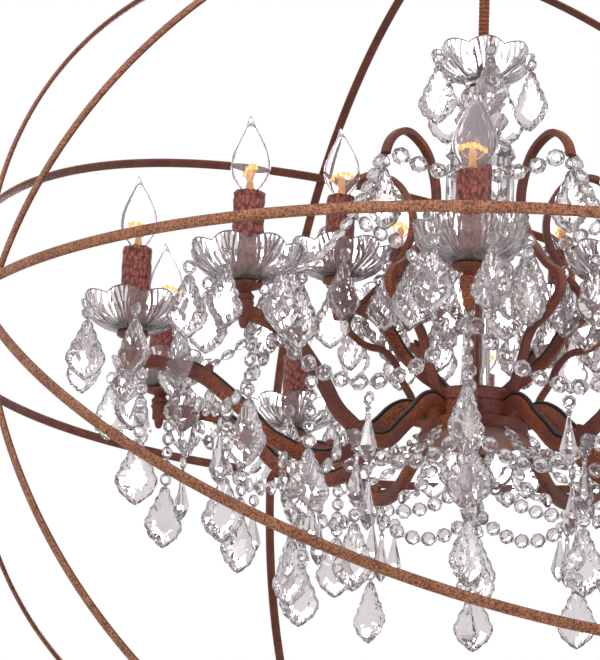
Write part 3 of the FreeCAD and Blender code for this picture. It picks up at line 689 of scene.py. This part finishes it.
def addCeilingFitting():
    nodeTurning("canopyShell", "canopy", [
        (0.982, 1.0), (1.0, 0.97), (0.995, 0.72), (0.96, 0.60), (0.93, 0.56), (0.92, 0.50), (0.86, 0.36),
        (0.72, 0.22), (0.52, 0.13), (0.36, 0.10), (0.26, 0.09), (0.24, 0.03), (0.20, 0.0), (0.08, 0.0),
        (0.08, 0.05), (0.18, 0.06), (0.30, 0.15), (0.52, 0.18), (0.71, 0.27), (0.84, 0.41), (0.90, 0.54),
        (0.955, 0.66), (0.975, 0.78), (0.968, 1.0),
    ], "ceiling_fitting", 72, closed=True)
    nodeTurning("collarTurning", "collar", [
        (0, 0), (0.5, 0), (0.8, 0.08), (0.97, 0.3), (1, 0.45), (0.86, 0.56), (0.86, 0.66), (1, 0.76),
        (0.97, 0.94), (0.9, 1.0), (0.47, 1.0), (0.47, 0.38), (0, 0.38),
    ], "ceiling_fitting")
    chainBar("canopy_loop", "canopyLoop", "ceiling_fitting", links["loop"], False)
    for name, across in (("upper", True), ("middle", False), ("lower", True)):
        chainBar("chain_link_" + name, "chainLink" + name.capitalize(), name + "_link", links["link"], across)
    chainBar("hub_loop", "hubLoop", "chandelier", links["loop"], False)
    nodeTurning("hubTurning", "hub", [
        (0, 0.52), (0.33, 0.48), (0.33, 0), (0.66, 0), (0.86, 0.06), (0.98, 0.2), (1, 0.32), (0.98, 0.42),
        (0.84, 0.5), (0.62, 0.56), (0.52, 0.64), (0.6, 0.72), (0.62, 0.8), (0.5, 0.9), (0.48, 1), (0, 1),
    ], "chandelier")
    print("trunk and ceiling fitting built")


addCeilingFitting()


# cut glass of the middle column and the dishes
glass = {
    "bore": 5.35 * mm, "dishLobes": 8, "dishRadius": 46 * mm, "dishHeight": 30 * mm, "lobeDip": 4.5 * mm,
    "topLobes": 8, "topRadius": 46.5 * mm, "topHeight": 31 * mm, "topFoot": 264 * mm, "columns": 14,
    "wall": 1.2 * mm, "flute": 1.1 * mm, "topSeat": 16 * mm, "dishSeat": 11 * mm, "smooth": 18,
}


def lobedRing(radius, z, dip, lobes, flute, pull):
    # one ring of a scalloped dish: full at each lobe's middle, notched between lobes; pull draws the
    # cuts towards the lobe's middle, so that they open like a fan
    ring = []
    columns = glass["columns"]
    for k in range(lobes * columns):
        lobe, share = divmod(k / columns, 1)
        side = 2 * share - 1
        side = math.copysign(abs(side) ** (1 + pull), side)
        notch = 1 - math.cos(math.pi / 2 * side)
        ring.append(polar(radius - dip * notch - flute * (k % 2), 360 * (lobe + 0.5 + side / 2) / lobes,
                          z - dip * notch))
    return ring


def dishShape(radius, height, lobes, foot, bore=0.0):
    # rows up the outside, over the rim and down the inside, as shares: radius, height, dip, flute, pull
    wall, dip = glass["wall"], glass["lobeDip"]
    outside = [(foot / radius, 0, 0, 0, 0), (0.40, 0.08, 0, 0.2, 1.2), (0.58, 0.20, 0, 0.8, 1.2),
               (0.76, 0.36, 0.1, 1.0, 1.0), (0.90, 0.57, 0.45, 1.0, 0.6), (0.97, 0.80, 0.8, 0.8, 0.25),
               (1.0, 0.96, 1.0, 0.3, 0.0), (0.985, 1.0, 1.0, 0, 0)]
    inside = [(0.955, 0.97, 1.0, 0, 0), (0.92, 0.80, 0.8, 0, 0), (0.84, 0.58, 0.45, 0, 0),
              (0.69, 0.39, 0.1, 0, 0), (0.51, 0.24, 0, 0, 0), (0.34, 0.14, 0, 0, 0),
              (max(0.2, bore / radius + 0.02), 0.10, 0, 0, 0)]
    rings = []
    for k, (r, z, d, f, pull) in enumerate(outside + inside):
        lift = wall if z < 0.2 and k >= len(outside) else 0  # the floor's thickness
        rings.append(lobedRing(radius * r, height * z + lift, dip * d, lobes, glass["flute"] * f, pull))
    if bore:
        count = lobes * glass["columns"]
        rings = [ringAt(bore, 0, count)] + rings + [ringAt(bore, height * 0.10 + wall, count)]
    return loft(rings, closed=bore > 0)


def flutedTurning(profile, flutes, depth, bore):
    # a turned glass with upright cuts: every second point lies a little nearer the middle
    sides = flutes * 2
    first, last = [ringAt(bore, profile[k][1], sides) for k in (0, -1)]
    return loft([first] + [ringAt(radius, z, sides, depth) for radius, z in profile] + [last], closed=True)


def addColumn():
    bore = glass["bore"]
    top = dishShape(glass["topRadius"], glass["topHeight"], glass["topLobes"], glass["topSeat"], bore)
    build("topDishGlass", top.at(moved(z=glass["topFoot"])), cutCrystal, ["glass_top_dish"], glass["smooth"])
    parts = (
        ("lowerColumnGlass", "glass_lower_column", 10, 1.0, [
            (13, -19.9), (14, -17), (12.4, 0), (11.4, 40), (11.4, 80), (12.6, 125), (14, 142), (13.2, 146)]),
        ("cylinderGlass", "glass_cylinder", 14, 1.4, [(28.6, 150), (30, 152), (30, 189), (28.6, 192)]),
        ("vaseGlass", "glass_vase", 14, 1.2, [
            (29.6, 196), (31, 198), (29, 205), (22, 211), (17, 217), (18.6, 222), (23.4, 228), (24.6, 232),
            (22, 235)]),
        ("neckGlass", "glass_neck", 12, 1.2, [
            (11.6, 238), (17.6, 241), (20.6, 246), (21, 249.5), (20.6, 253), (17.6, 258), (11.6, 261)]),
    )
    for name, node, flutes, depth, profile in parts:  # sizes in millimetres
        build(name, flutedTurning(inMm(profile), flutes, depth * mm, bore), cutCrystal, [node], glass["smooth"])
    print("glass column built")


addColumn()


# the lights: what stands on one arm end, with its foot at the origin
light = {
    "outerRadius": 300 * mm, "innerRadius": 125 * mm, "outerFoot": -13 * mm, "innerFoot": 53 * mm,
    "cupHeight": 17 * mm, "sleeveRadius": 12.9 * mm, "sleeveTop": 92 * mm, "sleeveFoot": 21.4 * mm,
    "bulbRadius": 15.9 * mm, "bulbLength": 64 * mm, "bulbBend": 3 * mm, "bulbWall": 0.7 * mm,
    "roughness": 0.5 * mm, "wornTop": 0.8, "sleeveWall": 1.5 * mm, "sleeveSides": 26,
    "sleeveRows": 20, "seed": 11, "roundSmooth": 60,  # wornTop is in millimetres
}
filament = {
    "steps": 24, "width": 22 * mm, "sway": 1.4 * mm, "bends": 9, "height": 18, "arch": 4, "zigzag": 1.3,
    "wire": 1.2 * mm, "firstTurn": 64, "turn": 37,  # height, arch and zigzag are in millimetres
}
tiers = (("outer", light["outerRadius"], light["outerFoot"], arms["outerCount"]),
         ("inner", light["innerRadius"], light["innerFoot"], arms["innerCount"]))


def cupShape():
    # a disc on a turned neck, over a cone that the arm's end runs into
    profile = ((0, -19), (2.0, -18.6), (3.4, -16), (4.4, -11), (5.6, -5), (6.6, -1), (7.6, 0.6), (7.8, 2.2),
               (6.6, 3.6), (7.4, 5.4), (7.6, 7.4), (6.0, 9.2), (5.0, 10.6), (6.0, 12.2), (9.6, 13.8),
               (12.8, 14.8), (13.6, 15.8), (13.4, 16.7), (0, 17))
    return turning(inMm(profile), 32)


def sleeveShape(seed):
    # a rough tube: its wall wanders in and out in low cells, and its top edge is worn
    chance = random.Random(seed)
    sides, rows = light["sleeveSides"], light["sleeveRows"]
    rough = light["roughness"]
    radius, wall = light["sleeveRadius"] - rough, light["sleeveWall"]
    foot, top = light["sleeveFoot"], light["sleeveTop"]
    rings = []
    for row in range(rows + 1):
        z = foot + (top - foot) * row / rows
        rings.append([polar(radius + chance.uniform(-1, 1) * rough, 360 * (k + 0.5 * (row % 2)) / sides,
                            z - (chance.uniform(0, light["wornTop"]) * mm if row == rows else 0))
                      for k in range(sides)])
    rings += [ringAt(radius - wall, z, sides) for z in (top - 0.6 * mm, foot)]
    return loft(rings, closed=True)


def bent(profile, sides):
    # a candle-flame outline turned round an axis that leans outward towards its tip
    length = light["bulbLength"]
    rings = []
    for radius, share in profile:
        lean = light["bulbBend"] * max(0, (share - 0.5) / 0.5) ** 2
        z = share * length
        if radius < 1e-6:
            rings.append([Vector((lean, 0, z))])
        else:
            rings.append([spot + Vector((lean, 0, 0)) for spot in ringAt(radius, z, sides)])
    return rings


def bulbGlassShape():
    outline = ((0.40, 0.0), (0.42, 0.03), (0.60, 0.09), (0.82, 0.17), (0.96, 0.26), (1.0, 0.34), (0.97, 0.43),
               (0.88, 0.52), (0.74, 0.61), (0.57, 0.70), (0.40, 0.78), (0.26, 0.85), (0.16, 0.91), (0.09, 0.96))
    radius = light["bulbRadius"]
    outside = [(0, 1.0)] + [(r * radius, share) for r, share in outline[::-1]]
    inside = [(r * radius - light["bulbWall"], share) for r, share in outline[:-2]] + [(0, 0.93)]
    return loft(bent(outside + inside, 28))


def tube(points, radius, sides=6):
    # a thin round wire through points that lie close together
    rings = []
    for k, spot in enumerate(points):
        ahead = unit(points[min(k + 1, len(points) - 1)] - points[max(k - 1, 0)])
        side = unit(ahead.orthogonal()) if k == 0 else unit(side - ahead * side.dot(ahead))
        rings.append(circle(spot, side, ahead.cross(side), radius, sides))
    return loft(rings)


def filamentShape():
    # a squat bow of wire that zigzags between its two supports
    points = []
    for k in range(filament["steps"] + 1):
        share = k / filament["steps"]
        zigzag = filament["zigzag"] if k % 2 else -filament["zigzag"]
        points.append(Vector(((share - 0.5) * filament["width"],
                              filament["sway"] * math.sin(share * filament["bends"] * math.pi),
                              (filament["height"] + filament["arch"] * math.sin(share * math.pi)
                               + zigzag) * mm)))
    return tube(points, filament["wire"])


def supportShape():
    # the glass stem under the filament and the two wires that leave it
    shape = turning(inMm(((0, 1), (4.2, 1), (3.2, 6), (2.4, 11), (3.6, 15), (2.2, 19), (0, 20))), 16)
    for side in (-1, 1):
        shape.add(tube([Vector((side * x * mm, 0, z * mm)) for x, z in ((1.6, 10), (6.0, 12.5), (10.6, 18))],
                       0.6 * mm, 5))
    return shape


def addLights():
    cap = turning(inMm(((0, -13.9), (6.9, -13.9), (6.9, -1.4), (6.6, -0.9), (6.9, -0.4), (6.4, -0.05),
                        (0, -0.05))), 24)
    dish = dishShape(glass["dishRadius"], glass["dishHeight"], glass["dishLobes"], glass["dishSeat"])
    cup, bulb, bow, support = cupShape(), bulbGlassShape(), filamentShape(), supportShape()
    soft = light["roundSmooth"]
    for tier, radius, foot, count in tiers:
        cups, dishes, sleeves, caps, bulbs, bows, supports = [Shape() for k in range(7)]
        for k in range(count):
            stand = spun(arms["firstTurn"] + 360 * k / count) @ moved(x=radius, z=foot)
            lampPlace = stand @ moved(z=light["sleeveTop"])
            turned = lampPlace @ spun(filament["firstTurn"] + filament["turn"] * k)
            cups.add(cup, stand)
            dishes.add(dish, stand @ moved(z=light["cupHeight"]))
            sleeves.add(sleeveShape(light["seed"] + k), stand)
            caps.add(cap, lampPlace)
            bulbs.add(bulb, lampPlace)
            bows.add(bow, turned)
            supports.add(support, turned)
        end = tier.capitalize()
        build("cups" + end, cups, rustIron, ["cups_" + tier])
        build("dishes" + end, dishes, cutCrystal, ["dishes_" + tier], glass["smooth"])
        build("sleeves" + end, sleeves, roughSleeve, ["candle_sleeves_" + tier], soft)
        build("bulbCaps" + end, caps, capBrass, ["bulb_caps_" + tier])
        build("bulbs" + end, bulbs, bulbGlass, ["bulbs_" + tier], soft)
        build("filaments" + end, bows, filamentGlow)
        # the stems take the painted amber glow
        build("bulbStems" + end, supports, filamentLitStemGlow, (), soft)
    print("lights built")


addLights()


# cut stones
stones = {
    "beadRadius": 8.6 * mm, "beadThick": 7 * mm, "gap": 0.3 * mm, "smallRadius": 6 * mm,
    "smallThick": 4.4 * mm, "leafWidth": 32 * mm, "leafHeight": 50 * mm, "leafThick": 9 * mm,
    "dropWidth": 16 * mm, "dropHeight": 45 * mm, "dishScale": 1.04, "leafScale": 1.12,
    "linkWire": 0.45 * mm, "facing": 26.8, "swing": 38.0, "seed": 5,
    "perDish": 6, "hangRadius": 44.6 * mm, "hangRise": 15.6 * mm, "hangFirst": 22.5,
    "topCount": 5, "topFirst": 36, "topRadius": 43.4 * mm, "topHeight": 288 * mm,
    "tipRadius": 132.2 * mm, "tipHeight": 161.7 * mm, "tie": (129.2 * mm, 4.3 * mm, 164 * mm),
    "tipSag": 22 * mm, "underFrom": 116 * mm, "underTo": (49 * mm, 0, -58 * mm), "underSag": 14 * mm,
    "armDropRadius": 140 * mm, "lowRadius": 156 * mm, "farRadius": 216 * mm, "cupDropInset": 10 * mm,
    "longBeads": 5,
}


def stone(outline, thick, waist, innerRing, tableRing):
    # a stone with the same cuts on both faces; outline is (side, height) pairs and x is its thickness
    middle = Vector((0, 0, waist))
    edge = [Vector((0, y, z)) for y, z in outline]

    def inset(shares, depth):
        return [middle + (point - middle) * shares[k % len(shares)] + Vector((depth, 0, 0))
                for k, point in enumerate(edge)]

    tip = thick / 2
    inner = tip * 0.72
    return loft([inset(tableRing, -tip), inset(innerRing, -inner), edge, inset(innerRing, inner),
                 inset(tableRing, tip)])


def octagonBead(radius, thick):
    turns = [math.radians(22.5 + 45 * k) for k in range(8)]
    outline = [(radius * 0.94 * math.sin(a), radius * 0.98 * math.cos(a)) for a in turns]
    return stone(outline, thick, 0, [0.72], [0.38])


def leafPendant(scale):
    half = stones["leafWidth"] * scale / 2
    high = stones["leafHeight"] * scale
    side = [(0.15, 0.01), (0.27, 0.06), (0.30, 0.13), (0.46, 0.20), (0.54, 0.30), (0.74, 0.38), (0.80, 0.48),
            (0.98, 0.57), (1.0, 0.67), (0.85, 0.75), (0.74, 0.83), (0.48, 0.89), (0.30, 0.95)]
    right = [(half * w, -high * h) for w, h in side]
    left = [(-half * w, -high * h) for w, h in side[::-1]]
    outline = [(0, 0)] + right + [(0, -high)] + left
    return stone(outline, stones["leafThick"] * scale, -high * 0.6, [0.84, 0.78], [0.52, 0.46])


def spearDrop():
    # a long six-sided drop, thickest near its foot
    width, height = stones["dropWidth"], stones["dropHeight"]
    rows = ((0.16, 0.0), (0.30, 0.05), (0.20, 0.12), (0.42, 0.34), (0.86, 0.62), (1.0, 0.72), (0.62, 0.88))
    rings = [ringAt(width / 2 * r, -height * share, 6) for r, share in rows]
    return loft([[Vector((0, 0, 0))]] + rings + [[Vector((0, 0, -height))]])


def linkBow():
    # the small wire bow that joins two stones, drawn upright about the origin
    points = [Vector((0, 2.4 * mm * math.sin(2 * a), 2.6 * mm * math.cos(a)))
              for a in [2 * math.pi * k / 14 for k in range(15)]]
    return tube(points, stones["linkWire"], 5)


beadShape = octagonBead(stones["beadRadius"] - 0.2 * mm, stones["beadThick"])
smallBeadShape = octagonBead(stones["smallRadius"], stones["smallThick"])
bowShape = linkBow()


def axes(along, outward, spot, scale):
    # a place whose z runs along a string and whose x faces outward
    outward = unit(outward - along * outward.dot(along))
    side = along.cross(outward)
    place = Matrix((outward * scale, side * scale, along * scale)).transposed().to_4x4()
    place.translation = spot
    return place


class Crystals:
    # gathers stones and the wires between them, so each set becomes two pieces
    def __init__(self):
        self.stones = Shape()
        self.wires = Shape()

    def add(self, other, place):
        self.stones.add(other.stones, place)
        self.wires.add(other.wires, place)

    def hang(self, shape, spot, turn, beads):
        # a row of small beads on their wires, with a stone under them
        place = moved(*spot) @ spun(turn)
        radius = stones["smallRadius"]
        pitch = 2 * radius + stones["gap"]
        for k in range(beads):
            self.stones.add(smallBeadShape, place @ moved(z=-stones["gap"] - radius - k * pitch))
            self.wires.add(bowShape, place @ moved(z=-(k + 1) * pitch))
        self.stones.add(shape, place @ moved(z=-stones["gap"] - beads * pitch))
        return self

    def string(self, start, end, sag, scale=1.0):
        pitch = 2 * stones["beadRadius"] * scale + stones["gap"]
        points = evenSteps(start, end, sag, pitch)
        for a, b in zip(points, points[1:]):
            along = unit(b - a)
            middle = (a + b) / 2
            outward = Vector((middle.x, middle.y, 0.02))
            if unit(outward).cross(along).length < 0.2:
                outward = Vector((-middle.y, middle.x, 0))
            fit = (b - a).length / (2 * stones["beadRadius"])
            self.stones.add(beadShape, axes(along, outward, middle, fit * 0.97))
            self.wires.add(bowShape, axes(along, outward, b, scale))
        return self

    def finish(self, name, replaced=()):
        build(name, self.stones, cutCrystal, replaced, 0)
        build(name + "Wires", self.wires, linkSilver)


def evenSteps(start, end, sag, pitch):
    # points a whole number of beads apart along a sagging line
    fine = 240
    line = [start.lerp(end, k / fine) - Vector((0, 0, 4 * sag * (k / fine) * (1 - k / fine)))
            for k in range(fine + 1)]
    lengths = [0.0]
    for a, b in zip(line, line[1:]):
        lengths.append(lengths[-1] + (b - a).length)
    count = max(2, round(lengths[-1] / pitch))
    spots = []
    for k in range(count + 1):
        goal = lengths[-1] * k / count
        spots.append(line[min(range(fine + 1), key=lambda i: abs(lengths[i] - goal))])
    return spots


def heightUnder(radius, depth=arms["outerDepth"]):
    # how high an outer arm's underside is at a radius; a negative depth gives its upper side
    low = [spot - normal * (depth / 2) for spot, normal in outerRoute]
    for a, b in zip(low, low[1:]):
        if min(a.x, b.x) <= radius <= max(a.x, b.x):
            return a.z + (b.z - a.z) * (radius - a.x) / (b.x - a.x)


def addStones():
    chance = random.Random(stones["seed"])
    firstTurn, strapStep = arms["firstTurn"], 360 / arms["strapCount"]
    leaf = leafPendant(stones["dishScale"])
    bigLeaf = leafPendant(stones["leafScale"])
    spear = spearDrop()
    pitch = 2 * stones["smallRadius"] + stones["gap"]
    hangHeight = light["cupHeight"] + stones["hangRise"]

    def loosely(whole, shape, radius, turn, height, beads):
        # hangs a stone at a place round the stem, turned a little by chance
        way = 270 - stones["facing"] + chance.uniform(-1, 1) * stones["swing"]
        whole.hang(shape, polar(radius, turn, height), way, beads)

    for tier, radius, foot, count in tiers:
        whole = Crystals()
        for k in range(count):
            turn = firstTurn + 360 * k / count
            for j in range(stones["perDish"]):
                spot = polar(radius, turn, 0) + polar(
                    stones["hangRadius"], turn + stones["hangFirst"] + 360 * j / stones["perDish"], 0)
                loosely(whole, leaf, spot.to_2d().length, math.degrees(math.atan2(spot.y, spot.x)),
                        foot + hangHeight, 1)
        whole.finish("dishStones" + tier.capitalize(), ["dish_stones_" + tier])
    top, tip = Crystals(), Crystals()
    for k in range(stones["topCount"]):
        loosely(top, bigLeaf, stones["topRadius"], stones["topFirst"] + 360 * k / stones["topCount"],
                stones["topHeight"], 1)
    top.finish("topDishStones", ["top_dish_stones"])
    for k in range(arms["strapCount"]):
        loosely(tip, bigLeaf, stones["tipRadius"], strapTurn + strapStep * k, stones["tipHeight"], 1)
    tip.finish("strapStones", ["strap_stones"])
    out, side, up = stones["tie"]
    swag = Crystals().string(Vector((out, side, up)), spun(strapStep) @ Vector((out, -side, up)),
                             stones["tipSag"])
    around(swag, arms["strapCount"], strapTurn).finish("strapSwags", ["strap_swags"])
    under = Crystals().string(Vector((stones["underFrom"], 0, heightUnder(stones["underFrom"]))),
                              Vector(stones["underTo"]), stones["underSag"])
    around(under, arms["outerCount"], firstTurn).finish("underSwags", ["under_swags"])
    drops, cups, lows, ball = Crystals(), Crystals(), Crystals(), Crystals()
    nearDrop, near, far = stones["armDropRadius"], stones["lowRadius"], stones["farRadius"]
    cupRadius = light["outerRadius"] - stones["cupDropInset"]
    for k in range(arms["outerCount"]):
        turn = firstTurn + 360 * k / arms["outerCount"]
        drops.hang(spear, polar(nearDrop, turn, heightUnder(nearDrop)), 0, 2)
        loosely(cups, bigLeaf, cupRadius, turn, heightUnder(cupRadius), stones["longBeads"])
        # a bead, a spear, a bead and a leaf, one under the other
        lows.hang(spear, polar(near, turn, heightUnder(near)), chance.uniform(0, 60), 1)
        loosely(lows, bigLeaf, near, turn, heightUnder(near) - pitch - stones["dropHeight"], 1)
        loosely(lows, bigLeaf, far, turn, heightUnder(far), stones["longBeads"])
    drops.finish("armDrops", ["arm_drops"])
    cups.finish("cupDrops")
    lows.finish("lowDrops")
    foot = trunk["coverFoot"] - trunk["finialHeight"] - 2 * trunk["ballRadius"]
    ball.hang(spear, (0, 0, foot), 20, 1).hang(spear, (0, 0, foot - pitch - stones["dropHeight"]), 50, 2)
    ball.finish("ballDrop")
    print("stones built")


addStones()


# the longer strings of beads, and small lugs on the upper side of the arms
strings = {
    "outerRadius": 262 * mm, "outerSag": 46 * mm, "armRadius": 168 * mm, "armSag": 30 * mm, "tie": 0.5 * mm,
    "middleGap": 6 * mm, "scale": 0.9, "reachFrom": (137 * mm, 0, 160 * mm), "rimInset": 44 * mm,
    "rimRise": 36 * mm, "reachSag": 26 * mm, "lugRadii": [152 * mm, 236 * mm], "lugSink": 0.6 * mm,
    "lugLean": -38,
}


def addStrings():
    firstTurn, step = arms["firstTurn"], 360 / arms["outerCount"]
    for name, key in (("outerSwags", "outer"), ("armSwags", "arm")):
        radius, sag = strings[key + "Radius"], strings[key + "Sag"]
        low = heightUnder(radius) - strings["tie"]
        swag = Crystals().string(Vector((radius, 0, low)), spun(step) @ Vector((radius, 0, low)), sag,
                                 scale=strings["scale"])
        if key == "outer":
            middle = polar(radius * math.cos(math.radians(step / 2)), step / 2,
                           low - sag - strings["middleGap"])
            swag.hang(spearDrop(), middle, 0, 1)
        around(swag, arms["outerCount"], firstTurn).finish(name)
    rim = Vector((light["outerRadius"] - strings["rimInset"], 0, light["outerFoot"] + strings["rimRise"]))
    out = Crystals().string(Vector(strings["reachFrom"]), rim, strings["reachSag"], scale=strings["scale"])
    around(out, arms["strapCount"], strapTurn).finish("reachSwags")
    outline = ((-4.5, 0), (4.5, 0), (3.6, 5), (1.6, 8), (-1.6, 8), (-3.6, 5))
    lug = loft([[Vector((x * mm, y * mm, z * mm)) for x, z in outline] for y in (-1.6, 1.6)])
    lugs = Shape()
    for radius in strings["lugRadii"]:
        height = heightUnder(radius, -arms["outerDepth"]) - strings["lugSink"]
        lugs.add(lug, moved(radius, 0, height) @ spun(strings["lugLean"], "Y"))
    build("armLugs", around(lugs, arms["outerCount"], firstTurn), rustIron)
    print("extra strings built")


addStrings()


# floor, world and lamps
studio = {
    "floor": -1.75, "floorReach": 7.0, "fadeFrom": 1.0, "fadeTo": 3.4, "worldStrength": 0.62,
    "lamps": (("keyLamp", (-1.9, -1.6, 1.3), 0.9, 26), ("fillLamp", (1.6, -2.0, 0.5), 1.2, 14),
              ("rimLamp", (0.8, 2.2, 0.9), 1.0, 18)),  # name, place from the middle, size and energy
}


def addStudio():
    mesh = bpy.data.meshes.new("floor")
    work = bmesh.new()
    bmesh.ops.create_grid(work, x_segments=8, y_segments=8, size=studio["floorReach"])
    work.to_mesh(mesh)
    work.free()
    floor = linked("floor", mesh)
    floor.location.z = studio["floor"]
    white = (1, 1, 1, 1)
    graph = Graph("paleFloor")
    graph.set(Base_Color=graph.blend(graph.noise(1.5, 2), (236, 236, 235), (240, 240, 239)),
              Roughness=0.9)
    # the floor fades into the white round it, so that its edge isn't seen
    reach = graph.vectors("LENGTH", graph.place, (0, 0, 0), "Value")
    glow = graph.node("ShaderNodeEmission", None, {"Color": white, "Strength": 1.0})
    graph.show("Material Output", graph.ramp(reach, studio["fadeFrom"], studio["fadeTo"]) * graph.whiteRays(),
               Tone(graph, graph.shader.outputs[0]), glow)
    mesh.materials.append(graph.owner)

    world = bpy.data.worlds.new("studio")
    bpy.context.scene.world = world
    sky = Graph(world=world)
    plain, seen = [sky.node("ShaderNodeBackground", None, {"Color": white, "Strength": strength})
                   for strength in (studio["worldStrength"], 1.0)]
    sky.show("World Output", sky.whiteRays(), plain, seen)
    for name, spot, size, energy in studio["lamps"]:
        data = bpy.data.lights.new(name, "AREA")
        data.shape = "SQUARE"
        data.size = size
        data.energy = energy
        lamp = linked(name, data)
        lamp.location = orbCentre + Vector(spot)
        lamp.rotation_euler = (-Vector(spot)).to_track_quat("-Z", "Y").to_euler()
    print("studio ready")


addStudio()

bpy.context.scene.view_settings.view_transform = "Standard"
